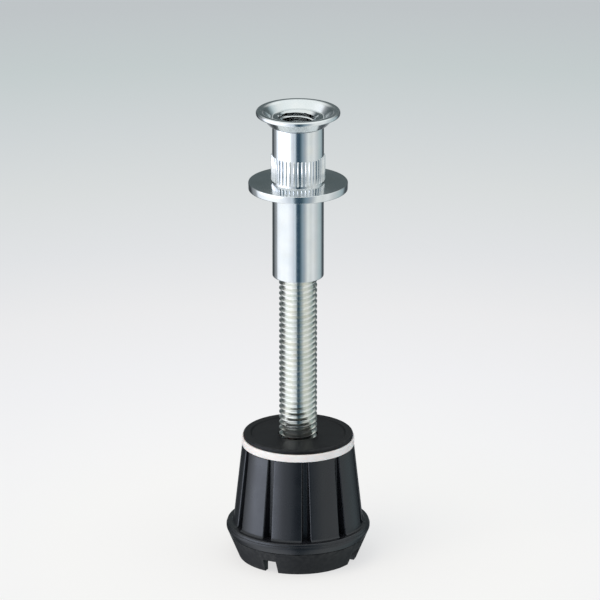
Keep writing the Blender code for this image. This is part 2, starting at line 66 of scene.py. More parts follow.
ROD = 5.0 * MM                  # M10 thread
PITCH = 1.5 * MM
THREAD_DEPTH = 0.86 * MM
THREAD_CHAMFER = 0.9 * MM
THREAD_PLAY = 0.07 * MM         # radial play between the two threads
THREAD_SIDES = 60
ROWS_PER_PITCH = 16
THREAD_WELD = 2e-6              # distance at which two rows become one
ROD_ROOT = 1.0 * MM             # how far the thread goes down inside the hex head
HEAD_FLATS = 17.0 * MM
HEAD_HEIGHT = 6.4 * MM
HEAD_CHAMFER = math.radians(30)
HEAD_SIDES = 72
HEAD_LOW = WASHER_HIGH.z + CLEARANCE
HEAD_TOP = HEAD_LOW + HEAD_HEIGHT
KEY_FLATS = 5.0 * MM
KEY_DEPTH = 5.0 * MM
KEY_CHAMFER = 0.25 * MM
KEY_POINT = 0.8 * MM            # depth of the drilled cone under the hex socket
PIN = 3.5 * MM
PIN_ROOT = 0.2 * MM             # how far the pin goes up inside the hex head
PIN_SIDES = 96
CLIP_GROOVE = 2.7 * MM
CLIP_BORE = 3.0 * MM
CLIP_RELIEF = 1.2 * MM          # how far the clip's inner edge stands back between its lugs
CLIP_MOUTH = math.radians(38)   # half of the angle that the clip leaves open
CLIP_LUG = math.radians(30)
CLIP_ROLL = 0.08 * MM

SLEEVE = 6.75 * MM
LOAD_FLANGE_THICKNESS = 2.0 * MM
LOAD_FLANGE_TOP = 103.8 * MM
KNURL_RIBS = 40
KNURL_HEIGHT = 0.34 * MM
KNURL_LENGTH = 7.0 * MM
KNURL_GAP = 0.5 * MM            # from the load flange
KNURL_SINK = 0.1 * MM           # how far the ribs go into the sleeve
KNURL_SHARE = 0.75              # of the pitch round the sleeve that a rib's foot takes
KNURL_RUN_OUT = 0.1             # share of a rib's height that is left at its ends
NECK = 6.1 * MM
STAKE_LIP = 0.8 * MM
STAKE_TAPER = 0.1 * MM
CUP_SHEET = 1.2 * MM
CUP_RIM = 1.8 * MM
CUP_FLOOR = 1.2 * MM
CUP_THINNING = 0.3 * MM         # of the wall where it is drawn up from the floor

FOOT_CONE = math.radians(22.5)
BAND_HEIGHT = 2.2 * MM
BAND_TAPER = 1.5 * MM
BAND_STEP = 0.2 * MM
LEDGE_WIDTH = 1.95 * MM         # at LEDGE_LEVEL, from the flange's edge to the fluted cone
LEDGE_LEVEL = 5.8 * MM
FLANGE_TOP = 3.0 * MM
FLANGE_FILLET = 1.0 * MM
GRIP_TAPER = math.radians(6.3)
GRIP_SEAT_DEPTH = 5.0 * MM      # room for the guide ring's skirt
GRIP_WEB_LOW = 9.5 * MM         # underside of the solid web round the rod
FLUTES = 10
FLUTE_ANGLE = math.radians(7.4)
FLUTE_ROOT_WIDTH = 1.25 * MM
FLUTE_TOP_DEPTH = 0.8 * MM
FLUTE_LEAST_DEPTH = 0.05 * MM
FLUTE_WELD = 1e-6               # distance at which neighbouring flutes are one
FLUTE_DRAFT = math.radians(12)
FLUTE_LEAN = math.radians(1.5)
GRIP_WALL = 1.5 * MM
FLUTE_ROOT_FILLET = 0.25 * MM
FLUTE_EDGE_FILLET = 0.35 * MM
WALL_STEPS = 12                 # faces from a groove's edge to the middle of the wall
MOULD_ROUNDING = 0.2 * MM

SKIRT = 12.1 * MM
SKIRT_WALL = 1.3 * MM
CAP_DISH = 0.4 * MM
CAP_RIM = 1.9 * MM
CAP_HOLE_PLAY = 0.12 * MM
PEGS = 5
PEG = 1.2 * MM
PEG_CIRCLE = 9.2 * MM
PEG_ROOT = 0.3 * MM             # how far the pegs go up inside the disc
PEG_SIDES = 24

GLIDE_RING = 12.17 * MM
GLIDE_RING_WALL = 1.5 * MM
CLIP_ROOM = 1.0 * MM            # round the clip, under the sole
BOSS_WALL = 1.6 * MM
BOSS_LIFT = 0.5 * MM            # of the boss above the floor
FLOOR_RING = 1.6 * MM
RECESS_DEPTH = 4.0 * MM
NOTCHES = 4
NOTCH_ANGLE = math.radians(-26.5)
NOTCH_WIDTH = 3.8 * MM
NOTCH_HEIGHT = 3.7 * MM
RIB_ANGLE = math.radians(5)
OVERCUT = 1.0 * MM              # how far a cutter reaches past what it cuts

SIDES = 180
SOLE_SIDES = 120                # of the sole and the washer
FILLET_SHARE = 0.45             # most of an edge that one rounding may take
WELD = 1e-7                     # distance at which points are one
EDGE = "edge"                   # attribute of every piece that says where edge wear and the painted edge highlight show
EDGE_BEND = math.radians(12)    # bend at which an edge is fully marked


# ---------------------------------------- mesh tools

def on_circle(radius, angle, z=0.0):
    """Point at an angle counted from the front (-Y) towards the right (+X)."""
    return Vector((radius * math.sin(angle), -radius * math.cos(angle), z))


def rounded(corners, steps=5, closed=True):
    """Outline points from (x, y, rounding) corners; a rounding of 0 keeps a corner sharp."""
    points = []
    count = len(corners)
    for i, (x, y, radius) in enumerate(corners):
        here = Vector((x, y))
        at_end = not closed and i in (0, count - 1)
        if radius == 0 or at_end:
            points.append((x, y))
            continue
        before = Vector(corners[i - 1][:2]) - here
        after = Vector(corners[(i + 1) % count][:2]) - here
        half = before.angle(after) / 2
        longest = FILLET_SHARE * min(before.length, after.length)
        reach = min(radius / math.tan(half), longest)
        before.normalize()
        after.normalize()
        centre = here + (before + after).normalized() * reach / math.cos(half)
        start = here + before * reach - centre
        sweep = start.angle_signed(here + after * reach - centre)
        for k in range(steps + 1):
            spoke = start.copy()
            spoke.rotate(Matrix.Rotation(-sweep * k / steps, 2))
            points.append(tuple(centre + spoke))
    return points


def even_angles(count):
    """Angles that share a full turn evenly, from the front."""
    return [math.tau * i / count for i in range(count)]


def add_ring(bm, spots, z):
    """Vertices at one height from (angle, radius) pairs."""
    return [bm.verts.new(on_circle(radius, angle, z)) for angle, radius in spots]


def bridge(bm, rings, wrap=True):
    """Faces from each row of vertices to the next; wrap also joins the row's end to its start."""
    for one, other in zip(rings, rings[1:]):
        for i in range(len(one) if wrap else len(one) - 1):
            j = (i + 1) % len(one)
            bm.faces.new((one[i], one[j], other[j], other[i]))


def add_prism(bm, outline, bottom, top):
    """Extrude a closed outline of (x, y) points from one height to another."""
    lower = [bm.verts.new((x, y, bottom)) for x, y in outline]
    upper = [bm.verts.new((x, y, top)) for x, y in outline]
    bm.faces.new(lower)
    bm.faces.new(upper)
    bridge(bm, (lower, upper))


def hexagonal(flat, angle):
    """Radius at an angle of a hexagon whose first flat, `flat` from the axis, faces the front."""
    return flat / math.cos((angle + math.pi / 6) % (math.pi / 3) - math.pi / 6)


def sector(inner, outer, half_angle, steps):
    """Outline of a ring sector, centred on the front."""
    angles = [half_angle * (2 * i / steps - 1) for i in range(steps + 1)]
    return [on_circle(outer, a).xy for a in angles] + [on_circle(inner, a).xy for a in reversed(angles)]


def add_object(name, data):
    """A new object in the scene around a mesh, a lamp or a camera."""
    obj = bpy.data.objects.new(name, data)
    bpy.context.scene.collection.objects.link(obj)
    return obj


def to_object(name, bm, outwards=True):
    """Turn a bmesh into an object, with equal points merged and the faces turned outwards."""
    bmesh.ops.remove_doubles(bm, verts=bm.verts, dist=WELD)
    if outwards:
        bmesh.ops.recalc_face_normals(bm, faces=bm.faces)
    mesh = bpy.data.meshes.new(name)
    bm.to_mesh(mesh)
    bm.free()
    return add_object(name, mesh)


def turned(name, corners, steps=5, sides=SIDES, closed=True):
    """An object turned round the Z axis from (radius, height, rounding) corners."""
    bm = bmesh.new()
    angles = even_angles(sides)
    rings = []
    for radius, z in rounded(corners, steps, closed):
        rings.append(add_ring(bm, [(angle, radius) for angle in angles], z))
    if closed:
        rings.append(rings[0])
    bridge(bm, rings)
    return to_object(name, bm)


def baked(obj, name):
    """A plain mesh object from what the modifiers of obj make; obj itself is removed."""
    bpy.context.view_layer.update()
    graph = bpy.context.evaluated_depsgraph_get()
    mesh = bpy.data.meshes.new_from_object(obj.evaluated_get(graph), depsgraph=graph)
    bpy.data.objects.remove(obj, do_unlink=True)
    mesh.name = name
    return add_object(name, mesh)


def taken_up(*objects):
    """One bmesh from the meshes of objects; the objects are removed."""
    bm = bmesh.new()
    for obj in objects:
        bm.from_mesh(obj.data)
        bpy.data.objects.remove(obj, do_unlink=True)
    return bm


def mark_edges(mesh):
    """Store how convex each vertex is, from 0 on smooth faces to 1 on a bend of EDGE_BEND or more."""
    smallest = EDGE_BEND / 3
    bm = bmesh.new()
    bm.from_mesh(mesh)
    marks = [0.0] * len(bm.verts)
    bm.verts.index_update()
    for edge in bm.edges:
        if len(edge.link_faces) == 2:
            bend = edge.calc_face_angle_signed(0.0)
            share = min(max((bend - smallest) / (EDGE_BEND - smallest), 0.0), 1.0)
            for vert in edge.verts:
                marks[vert.index] = max(marks[vert.index], share)
    bm.free()
    mesh.attributes.new(EDGE, "FLOAT", "POINT").data.foreach_set("value", marks)


def piece(obj, material, body, slot, *nodes, smooth=35):
    """Give a finished mesh its material and its body; edges bent more than `smooth` degrees stay sharp."""
    mark_edges(obj.data)
    obj.data.materials.clear()
    obj.data.materials.append(material)
    for polygon in obj.data.polygons:
        polygon.material_index = 0
    obj.data.shade_smooth()
    obj.data.set_sharp_from_angle(angle=math.radians(smooth))
    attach(obj, body)
    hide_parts(*nodes)


# ---------------------------------------- node tools

def place(tree, kind, inputs=None, **settings):
    """Add a node, set its properties, then fill its inputs with values or links."""
    node = tree.nodes.new(kind)
    for name, value in settings.items():
        setattr(node, name, value)
    for key, value in (inputs or {}).items():
        if isinstance(value, bpy.types.NodeSocket):
            tree.links.new(value, node.inputs[key])
        else:
            node.inputs[key].default_value = value
    return node


def calc(tree, operation, *values):
    """A math node; returns its result."""
    return place(tree, "ShaderNodeMath", dict(enumerate(values)), operation=operation).outputs[0]


def times(tree, vector, factors):
    """A vector with each of its parts multiplied."""
    return place(tree, "ShaderNodeVectorMath", {0: vector, 1: factors}, operation="MULTIPLY").outputs[0]


def blend_colour(tree, factor, *colours):
    """Mix two colours, each a link or a plain (red, green, blue)."""
    one, other = (c if isinstance(c, bpy.types.NodeSocket) else (*c, 1.0) for c in colours)
    return place(tree, "ShaderNodeMix", {0: factor, 6: one, 7: other}, data_type="RGBA").outputs[2]


def rescale(tree, value, low, high, to_low=0.0, to_high=1.0):
    """Map one range to another and clamp what lies outside."""
    names = ("Value", "From Min", "From Max", "To Min", "To Max")
    node = place(tree, "ShaderNodeMapRange", dict(zip(names, (value, low, high, to_low, to_high))))
    return node.outputs[0]


def spread(tree, value, low=0.0, high=1.0):
    """Stretch the range in which most values of a noise lie."""
    return rescale(tree, value, 0.3, 0.7, low, high)


def noise(tree, vector, scale, detail, **more):
    """Value of a noise texture; scale is in features per metre."""
    inputs = {"Vector": vector, "Scale": scale, "Detail": detail, **more}
    return place(tree, "ShaderNodeTexNoise", inputs).outputs[0]


def colour_ramp(tree, factor, stops):
    """Colour along a ramp of (position, (red, green, blue)) stops."""
    ramp = place(tree, "ShaderNodeValToRGB", {0: factor})
    elements = ramp.color_ramp.elements
    while len(elements) < len(stops):
        elements.new(0.5)
    for element, (position, colour) in zip(elements, stops):
        element.position = position
        element.color = (*colour, 1.0)
    return ramp.outputs[0]


def new_tree(name, kind, inputs, outputs):
    """A node group with named sockets; returns the tree, its given values and its output node."""
    tree = bpy.data.node_groups.new(name, kind)
    for label, socket, default in inputs:
        made = tree.interface.new_socket(name=label, in_out="INPUT", socket_type=socket)
        if default is not None:
            made.default_value = default
    for label, socket in outputs:
        tree.interface.new_socket(name=label, in_out="OUTPUT", socket_type=socket)
    return tree, tree.nodes.new("NodeGroupInput").outputs, tree.nodes.new("NodeGroupOutput")


def hand_out(tree, out, *results):
    """Link results to a group's output sockets in order; returns the finished tree."""
    for socket, result in zip(out.inputs, results):
        tree.links.new(result, socket)
    return tree


def labelled(values):
    """Keyword values under the labels of their sockets, which have spaces."""
    return {name.replace("_", " "): value for name, value in values.items()}


def run_tree(obj, tree, name, **values):
    """Run a geometry tree on obj with values for its inputs and return the plain result."""
    modifier = obj.modifiers.new(tree.name, "NODES")
    modifier.node_group = tree
    values = labelled(values)
    for item in tree.interface.items_tree:
        if item.item_type == "SOCKET" and item.in_out == "INPUT" and item.name in values:
            modifier[item.identifier] = values[item.name]
    return baked(obj, name)


# ---------------------------------------- geometry trees

FLOAT, INT, GEOMETRY = "NodeSocketFloat", "NodeSocketInt", "NodeSocketGeometry"


def geometry_tree(name, *inputs):
    """A geometry tree whose own inputs come between its geometry and its material."""
    inputs = [("Geometry", GEOMETRY, None), *inputs, ("Material", "NodeSocketMaterial", None)]
    return new_tree(name, "GeometryNodeTree", inputs, [("Geometry", GEOMETRY)])


def end_tree(tree, out, geometry, material):
    """Last nodes of a geometry tree: real geometry with its material."""
    real = place(tree, "GeometryNodeRealizeInstances", {"Geometry": geometry})
    done = place(tree, "GeometryNodeSetMaterial", {"Geometry": real.outputs[0], "Material": material})
    return hand_out(tree, out, done.outputs[0])


def copies_round_the_axis(tree, element, count, first_angle):
    """Real copies of an element, turned round the Z axis by equal steps."""
    share = calc(tree, "DIVIDE", place(tree, "GeometryNodeInputIndex").outputs[0], count)
    angle = calc(tree, "MULTIPLY_ADD", share, math.tau, first_angle)
    turn = place(tree, "ShaderNodeCombineXYZ", {2: angle})
    copies = place(tree, "GeometryNodeInstanceOnPoints", {
        "Points": place(tree, "GeometryNodePoints", {"Count": count}).outputs[0],
        "Instance": element,
        "Rotation": place(tree, "FunctionNodeEulerToRotation", {0: turn.outputs[0]}).outputs[0],
    })
    return place(tree, "GeometryNodeRealizeInstances", {"Geometry": copies.outputs[0]}).outputs[0]


def thread_tree():
    """A right-hand thread as one sheet: rows follow the helix, so every crest and root is true."""
    tree, g, out = geometry_tree(
        "Rolled thread",
        ("Radius", FLOAT, ROD),
        ("Depth", FLOAT, THREAD_DEPTH),
        ("Pitch", FLOAT, PITCH),
        ("Bottom", FLOAT, 0.0),
        ("Top", FLOAT, 20.0 * MM),
        ("Start", FLOAT, 0.0),
        ("End Chamfer", FLOAT, THREAD_CHAMFER),
        ("Turns", INT, 10),
        ("Sides", INT, THREAD_SIDES),
    )
    rows = calc(tree, "MULTIPLY", g["Turns"], ROWS_PER_PITCH)
    grid = place(tree, "GeometryNodeMeshGrid", {
        "Size X": 1.0,
        "Size Y": 1.0,
        "Vertices X": calc(tree, "ADD", g["Sides"], 1),
        "Vertices Y": calc(tree, "ADD", rows, 1),
    }).outputs[0]
    where = place(tree, "ShaderNodeSeparateXYZ", {0: place(tree, "GeometryNodeInputPosition").outputs[0]})
    around = calc(tree, "ADD", where.outputs[0], 0.5)
    turn = calc(tree, "MULTIPLY", calc(tree, "ADD", where.outputs[1], 0.5), g["Turns"])
    angle = calc(tree, "MULTIPLY", around, math.tau)
    height = calc(tree, "MULTIPLY_ADD", calc(tree, "ADD", turn, around), g["Pitch"], g["Start"])

    # 0 on the crest, 1 in the root: crest an eighth of the pitch wide, root a quarter
    across = calc(tree, "PINGPONG", turn, 0.5)
    sunk = rescale(tree, across, 1 / 16, 6 / 16)
    radius = calc(tree, "SUBTRACT", g["Radius"], calc(tree, "MULTIPLY", sunk, g["Depth"]))

    # both ends run out in a cone
    height = calc(tree, "MAXIMUM", calc(tree, "MINIMUM", height, g["Top"]), g["Bottom"])
    from_top = calc(tree, "SUBTRACT", g["Top"], height)
    from_bottom = calc(tree, "SUBTRACT", height, g["Bottom"])
    reach = calc(tree, "MINIMUM", from_top, from_bottom)
    sign = calc(tree, "SIGN", g["Depth"])
    cut = calc(tree, "SUBTRACT", g["End Chamfer"], reach)
    cone = calc(tree, "SUBTRACT", g["Radius"], calc(tree, "MULTIPLY", cut, sign))
    # the smaller radius of a rod's thread, the larger one of a thread in a bore
    thread_side = calc(tree, "MULTIPLY", radius, sign)
    cone_side = calc(tree, "MULTIPLY", cone, sign)
    outer = calc(tree, "MULTIPLY", calc(tree, "MINIMUM", thread_side, cone_side), sign)

    forward = calc(tree, "MULTIPLY", outer, calc(tree, "COSINE", angle))
    spot = place(tree, "ShaderNodeCombineXYZ", {
        0: calc(tree, "MULTIPLY", outer, calc(tree, "SINE", angle)),
        1: calc(tree, "MULTIPLY", forward, -1.0),
        2: height,
    }).outputs[0]
    sheet = place(tree, "GeometryNodeSetPosition", {"Geometry": grid, "Position": spot}).outputs[0]
    weld = place(tree, "GeometryNodeMergeByDistance", {"Geometry": sheet, "Distance": THREAD_WELD})
    return end_tree(tree, out, weld.outputs[0], g["Material"])


def round_the_axis_tree():
    """Repeats one element round the Z axis and welds neighbours that touch."""
    tree, g, out = geometry_tree(
        "Round the axis",
        ("Count", INT, 10),
        ("First Angle", FLOAT, 0.0),
        ("Weld", FLOAT, WELD),
    )
    copies = copies_round_the_axis(tree, g["Geometry"], g["Count"], g["First Angle"])
    weld = place(tree, "GeometryNodeMergeByDistance", {"Geometry": copies, "Distance": g["Weld"]})
    return end_tree(tree, out, weld.outputs[0], g["Material"])


def cut_round_the_axis_tree():
    """Repeats a cutter round the Z axis and takes all its copies out of the body."""
    tree, g, out = geometry_tree(
        "Cuts round the axis",
        ("Cutter", "NodeSocketObject", None),
        ("Count", INT, 4),
        ("First Angle", FLOAT, 0.0),
    )
    cutter = place(tree, "GeometryNodeObjectInfo", {"Object": g["Cutter"]}).outputs["Geometry"]
    copies = copies_round_the_axis(tree, cutter, g["Count"], g["First Angle"])
    cut = place(tree, "GeometryNodeMeshBoolean", operation="DIFFERENCE", solver="EXACT")
    tree.links.new(g["Geometry"], cut.inputs["Mesh 1"])
    tree.links.new(copies, cut.inputs["Mesh 2"])
    return end_tree(tree, out, cut.outputs[0], g["Material"])


# ---------------------------------------- shader groups

VECTOR = "NodeSocketVector"


def grain_group():
    """Fine even grain with a slow drift, for moulded and plated surfaces alike."""
    tree, g, out = new_tree("Surface grain", "ShaderNodeTree", [
        ("Vector", VECTOR, None),
        ("Grain Size", FLOAT, 0.3 * MM),
        ("Drift Size", FLOAT, 6.0 * MM),
    ], [("Grain", FLOAT), ("Drift", FLOAT)])
    fine = noise(tree, g["Vector"], calc(tree, "DIVIDE", 1.0, g["Grain Size"]), 4.0, Roughness=0.6)
    slow = noise(tree, g["Vector"], calc(tree, "DIVIDE", 1.0, g["Drift Size"]), 3.0)
    return hand_out(tree, out, fine, slow)


def wear_and_highlight_group():
    """Mask of marked edges broken up by noise, where handling polishes or pales a surface, and where a
    painted edge highlight goes.
    """
    tree, g, out = new_tree("Edge wear", "ShaderNodeTree", [
        ("Vector", VECTOR, None),
        ("Edge", FLOAT, 0.0),
        ("Patch Size", FLOAT, 2.0 * MM),
    ], [("Mask", FLOAT)])
    close = calc(tree, "POWER", g["Edge"], 3.0)
    patches = noise(tree, g["Vector"], calc(tree, "DIVIDE", 1.0, g["Patch Size"]), 5.0)
    broken = rescale(tree, patches, 0.38, 0.62)
    return hand_out(tree, out, calc(tree, "MULTIPLY", close, broken))


def turning_group():
    """Height and tone of fine marks that run round the Z axis, left by turning or rolling."""
    tree, g, out = new_tree("Turning marks", "ShaderNodeTree", [
        ("Vector", VECTOR, None),
        ("Mark Width", FLOAT, 0.12 * MM),
        ("Mark Length", FLOAT, 4.0 * MM),
    ], [("Height", FLOAT), ("Tone", FLOAT)])
    along = calc(tree, "DIVIDE", 1.0, g["Mark Length"])
    across = calc(tree, "DIVIDE", 1.0, g["Mark Width"])
    stretch = place(tree, "ShaderNodeCombineXYZ", {0: along, 1: along, 2: across}).outputs[0]
    squeezed = times(tree, g["Vector"], stretch)
    marks = noise(tree, squeezed, 1.0, 4.0)
    bands = noise(tree, times(tree, squeezed, (0.3, 0.3, 0.12)), 1.0, 2.0)
    return hand_out(tree, out, marks, bands)


GRAIN = grain_group()
WEAR_AND_HIGHLIGHT = wear_and_highlight_group()
TURNING = turning_group()


def group(tree, inner, **inputs):
    """Place a shader group and fill its named inputs; returns its outputs."""
    return place(tree, "ShaderNodeGroup", labelled(inputs), node_tree=inner).outputs


def new_material(name, **constants):
    """A material with a Principled shader whose plain values are set on its own sockets."""
    material = bpy.data.materials.new(name)
    material.use_nodes = True
    tree = material.node_tree
    shader = tree.nodes["Principled BSDF"]
    for label, value in labelled(constants).items():
        shader.inputs[label].default_value = value
    where = place(tree, "ShaderNodeTexCoord").outputs["Object"]
    return material, tree, shader, where


def link_looks(tree, shader, colour, rough, relief):
    """Give a material's shader what varies over the surface."""
    for label, value in (("Base Color", colour), ("Roughness", rough), ("Normal", relief)):
        tree.links.new(value, shader.inputs[label])


def edge_wear_and_highlight(tree, where, patch_size):
    """Mask of the edges that show wear and a painted highlight, from the marks that the mesh carries."""
    edge = place(tree, "ShaderNodeAttribute", attribute_name=EDGE).outputs["Fac"]
    return group(tree, WEAR_AND_HIGHLIGHT, Vector=where, Edge=edge, Patch_Size=patch_size)["Mask"]


def bump(tree, height, distance, normal=None):
    """Relief of a given depth, on top of another where one is given."""
    inputs = {"Height": height, "Distance": distance, "Strength": 1.0}
    if normal is not None:
        inputs["Normal"] = normal
    return place(tree, "ShaderNodeBump", inputs).outputs[0]


# ---------------------------------------- materials

STRAW = (0.78, 0.74, 0.64)
BARE_ZINC = (0.90, 0.91, 0.92)
BARE_STEEL = (0.62, 0.62, 0.62)
PLATING_GRAIN = 0.002 * MM      # depth of the relief
STEEL_GRAIN = 0.006 * MM
NYLON_GRAIN = 0.005 * MM


def zinc_plate(name, light, dark, roughness, mark_width, mark_depth, tint):
    """Bright zinc plate over turned or rolled steel, with a faint blue and straw drift."""
    material, tree, shader, where = new_material(name, Metallic=1.0)
    grain = group(tree, GRAIN, Vector=where, Grain_Size=0.25 * MM, Drift_Size=5.0 * MM)
    wear_and_highlight = edge_wear_and_highlight(tree, where, 1.5 * MM)
    marks = group(tree, TURNING, Vector=where, Mark_Width=mark_width, Mark_Length=6.0 * MM)
    colour = blend_colour(tree, rescale(tree, grain["Drift"], 0.35, 0.65), dark, light)
    straw = rescale(tree, noise(tree, where, 320.0, 3.0), 0.5, 0.72)
    colour = blend_colour(tree, calc(tree, "MULTIPLY", straw, tint), colour, STRAW)
    colour = blend_colour(tree, calc(tree, "MULTIPLY", wear_and_highlight, 0.5), colour, BARE_ZINC)
    rough = spread(tree, marks["Tone"], roughness * 0.75, roughness * 1.3)
    rough = calc(tree, "ADD", rough, spread(tree, grain["Grain"], -0.02, 0.03))
    relief = bump(tree, grain["Grain"], PLATING_GRAIN, bump(tree, marks["Height"], mark_depth))
    link_looks(tree, shader, colour, rough, relief)
    return material


def plain_steel(name, base, roughness):
    """Oiled steel of the small inner parts, darker and duller than the plated ones."""
    material, tree, shader, where = new_material(name, Metallic=1.0)
    grain = group(tree, GRAIN, Vector=where, Grain_Size=0.4 * MM, Drift_Size=3.0 * MM)
    wear_and_highlight = edge_wear_and_highlight(tree, where, 1.0 * MM)
    shade = [0.6 * c for c in base]
    colour = blend_colour(tree, spread(tree, grain["Drift"]), shade, base)
    colour = blend_colour(tree, wear_and_highlight, colour, BARE_STEEL)
    rough = spread(tree, grain["Grain"], roughness - 0.06, roughness + 0.08)
    link_looks(tree, shader, colour, rough, bump(tree, grain["Grain"], STEEL_GRAIN))
    return material


def moulded_plastic(name, base, pale, roughness, grain_size, grain_depth, scuff=0.0, level=0.5):
    """Black injection-moulded plastic: fine spark-eroded grain; its convex edges are paler, partly from
    handling and partly as a painted edge highlight.
    """
    material, tree, shader, where = new_material(
        name, IOR=1.55, Specular_Tint=(0.92, 0.95, 1.0, 1.0), Specular_IOR_Level=level)
    grain = group(tree, GRAIN, Vector=where, Grain_Size=grain_size, Drift_Size=7.0 * MM)
    wear_and_highlight = edge_wear_and_highlight(tree, where, 1.2 * MM)
    shade = [0.8 * c for c in base]
    colour = blend_colour(tree, spread(tree, grain["Drift"]), shade, base)
    # paler convex edges: handling wear, and a painted highlight where the rounded edges catch the light
    colour = blend_colour(tree, calc(tree, "MULTIPLY", wear_and_highlight, 0.45), colour, pale)
    if scuff > 0:
        # scuffed by the floor, up to about 2 mm above it
        height = place(tree, "ShaderNodeSeparateXYZ", {0: where}).outputs[2]
        low = rescale(tree, height, 0.4 * MM, 2.2 * MM, 1.0, 0.0)
        scratches = rescale(tree, noise(tree, where, 900.0, 6.0), 0.45, 0.7)
        low = calc(tree, "MULTIPLY", low, scratches)
        colour = blend_colour(tree, calc(tree, "MULTIPLY", low, scuff), colour, pale)
    rough = spread(tree, grain["Drift"], roughness - 0.05, roughness + 0.06)
    rough = calc(tree, "SUBTRACT", rough, calc(tree, "MULTIPLY", wear_and_highlight, 0.1))
    link_looks(tree, shader, colour, rough, bump(tree, grain["Grain"], grain_depth))
    return material


def natural_nylon(name, base, pale):
    """Uncoloured nylon: milky, slightly pink, with a soft sheen."""
    material, tree, shader, where = new_material(
        name, IOR=1.53, Subsurface_Weight=0.25, Subsurface_Scale=0.6 * MM,
        Subsurface_Radius=(1.0, 0.7, 0.6))
    grain = group(tree, GRAIN, Vector=where, Grain_Size=0.3 * MM, Drift_Size=4.0 * MM)
    colour = blend_colour(tree, spread(tree, grain["Drift"]), base, pale)
    rough = spread(tree, grain["Grain"], 0.38, 0.5)
    link_looks(tree, shader, colour, rough, bump(tree, grain["Grain"], NYLON_GRAIN))
    return material


SPINDLE_ZINC = zinc_plate(
    "spindle_zinc", light=(0.86, 0.86, 0.82), dark=(0.78, 0.80, 0.76), roughness=0.15,
    mark_width=0.1 * MM, mark_depth=0.004 * MM, tint=0.5)
SLEEVE_ZINC = zinc_plate(
    "sleeve_zinc", light=(0.80, 0.82, 0.83), dark=(0.74, 0.77, 0.79), roughness=0.11,
    mark_width=0.14 * MM, mark_depth=0.0015 * MM, tint=0.2)
CUP_ZINC = zinc_plate(
    "cup_zinc", light=(0.86, 0.88, 0.89), dark=(0.78, 0.82, 0.84), roughness=0.16,
    mark_width=0.25 * MM, mark_depth=0.003 * MM, tint=0.1)
WASHER_STEEL = plain_steel("washer_steel", base=(0.50, 0.50, 0.50), roughness=0.34)
CLIP_STEEL = plain_steel("clip_steel", base=(0.30, 0.30, 0.31), roughness=0.38)
# pale is the colour of the edges, which carries handling wear and a painted edge highlight
GRIP_PLASTIC = moulded_plastic(
    "grip_plastic", base=(0.006, 0.0065, 0.009), pale=(0.02, 0.021, 0.025), roughness=0.28,
    grain_size=0.16 * MM, grain_depth=0.006 * MM)
CAP_PLASTIC = moulded_plastic(
    "cap_plastic", base=(0.003, 0.003, 0.004), pale=(0.03, 0.03, 0.035), roughness=0.5,
    grain_size=0.2 * MM, grain_depth=0.01 * MM, level=0.25)
SOLE_PLASTIC = moulded_plastic(
    "sole_plastic", base=(0.006, 0.006, 0.007), pale=(0.04, 0.04, 0.04), roughness=0.6,
    grain_size=0.25 * MM, grain_depth=0.012 * MM, scuff=0.4, level=0.32)
RING_NYLON = natural_nylon("ring_nylon", base=(0.80, 0.755, 0.77), pale=(0.88, 0.85, 0.87))

THREAD = thread_tree()
ROUND_THE_AXIS = round_the_axis_tree()
CUT_ROUND_THE_AXIS = cut_round_the_axis_tree()


# ---------------------------------------- insert in the panel

def thread_sheet(name, material, radius, depth, bottom, top, start, chamfer, sides=THREAD_SIDES):
    """The threaded surface alone, open at both ends; a negative depth makes an inner thread."""
    turns = math.ceil((top - start) / PITCH) + 1
    return run_tree(
        to_object(name, bmesh.new()), THREAD, name, Material=material, Radius=radius, Depth=depth,
        Bottom=bottom, Top=top, Start=start, End_Chamfer=chamfer, Turns=turns, Sides=sides)


def thread_start(bottom):
    """Height of a crest below `bottom`, in step with every other thread of the assembly."""
    return (math.floor(bottom / PITCH) - 1) * PITCH


def insert_sleeve():
    """Turned sleeve: load flange, riveted lip, and the thread inside."""
    low = SLEEVE_LOW.z
    top = SLEEVE_HIGH.z
    flange = SLEEVE_HIGH.x
    flange_bottom = LOAD_FLANGE_TOP - LOAD_FLANGE_THICKNESS
    lip_bottom = top - STAKE_LIP
    shoulder = CUP_LOW.z - CLEARANCE
    lip = NECK + STAKE_LIP
    sides = 2 * THREAD_SIDES
    # the female thread: its crest is the rod's root, opened by the play; its mouth clears the rod
    crest = ROD - THREAD_DEPTH + THREAD_PLAY
    mouth = ROD + CLEARANCE
    corners = [
        (mouth, low, 0),
        (SLEEVE, low, 0.35 * MM),
        (SLEEVE, flange_bottom, 0.3 * MM),
        (flange, flange_bottom, 0.3 * MM),
        (flange, LOAD_FLANGE_TOP, 0.2 * MM),
        (SLEEVE, LOAD_FLANGE_TOP, 0.15 * MM),
        (SLEEVE, shoulder, 0.15 * MM),
        (NECK, shoulder, 0.1 * MM),
        (NECK, lip_bottom, 0.1 * MM),
        (lip, lip_bottom, 0.15 * MM),
        (lip - STAKE_TAPER, top, 0.4 * MM),
        (mouth, top, 0),
    ]
    outside = turned("sleeve_outside", corners, sides=sides, closed=False)
    inside = thread_sheet("sleeve_thread", SLEEVE_ZINC, crest, -THREAD_DEPTH, low, top,
                          thread_start(low) - PITCH / 2, mouth - crest, sides)
    sleeve = to_object("insert_sleeve_turned", taken_up(outside, inside))
    piece(sleeve, SLEEVE_ZINC, "insert", "zinc_plated_steel", "insert_sleeve")


